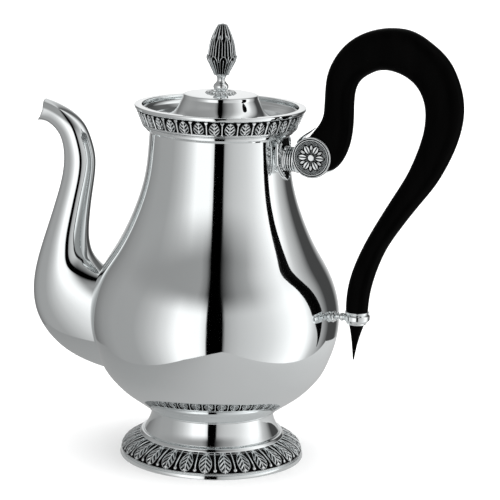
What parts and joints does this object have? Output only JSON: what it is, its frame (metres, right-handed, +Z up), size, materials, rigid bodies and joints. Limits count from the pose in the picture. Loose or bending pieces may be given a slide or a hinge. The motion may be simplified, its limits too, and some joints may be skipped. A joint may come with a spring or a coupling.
{
  "type": "coffee pot",
  "caption": "Footed pear-shaped silver coffee pot with a swan-neck spout, scrolled black wooden handle and a lift-off lid with a bud finial.",
  "frame": {"origin": "centre of the foot, on the table", "axes": "+Z up along the pot's axis, spout along -X, handle along +X, +Y to the left of someone looking from the handle to the spout"},
  "size_m": [0.2471, 0.1372, 0.2442],
  "materials": {
    "polished_silver": "mirror polished silver plate",
    "oxidised_silver": "chased silver plate with blackened recesses",
    "steel": "threaded rod",
    "black_wood": "ebonised, satin"
  },
  "bodies": {
    "pot": {"body_shell": "polished_silver", "spout_shell": "polished_silver", "neck_ring": "polished_silver", "rim_lip": "polished_silver", "rim_frieze": "oxidised_silver", "neck_bead": "polished_silver", "foot_collar": "polished_silver", "collar_bead": "polished_silver", "foot_waist": "polished_silver", "foot_bead": "polished_silver", "foot_leaf_band": "oxidised_silver", "foot_base_ring": "polished_silver", "escutcheon": "oxidised_silver", "upper_strut": "polished_silver", "handle_socket": "polished_silver", "socket_leaf": "polished_silver", "rosette_front": "oxidised_silver", "rosette_back": "oxidised_silver", "handle_rivet": "polished_silver", "handle": "black_wood", "lower_boss": "polished_silver", "lower_strut": "polished_silver", "clamp_ring": "polished_silver"},
    "lid": {"lid_cover": "polished_silver", "lid_bezel": "polished_silver", "finial_plate": "polished_silver", "finial_stem": "polished_silver", "finial_bud": "oxidised_silver", "finial_screw": "steel", "finial_washer": "polished_silver", "finial_nut": "polished_silver"}
  },
  "joints": [
    {"name": "lid_lift", "type": "slide", "parent": "pot", "child": "lid", "axis": [0, 0, 1], "range_m": [0, 0.08]}
  ]
}
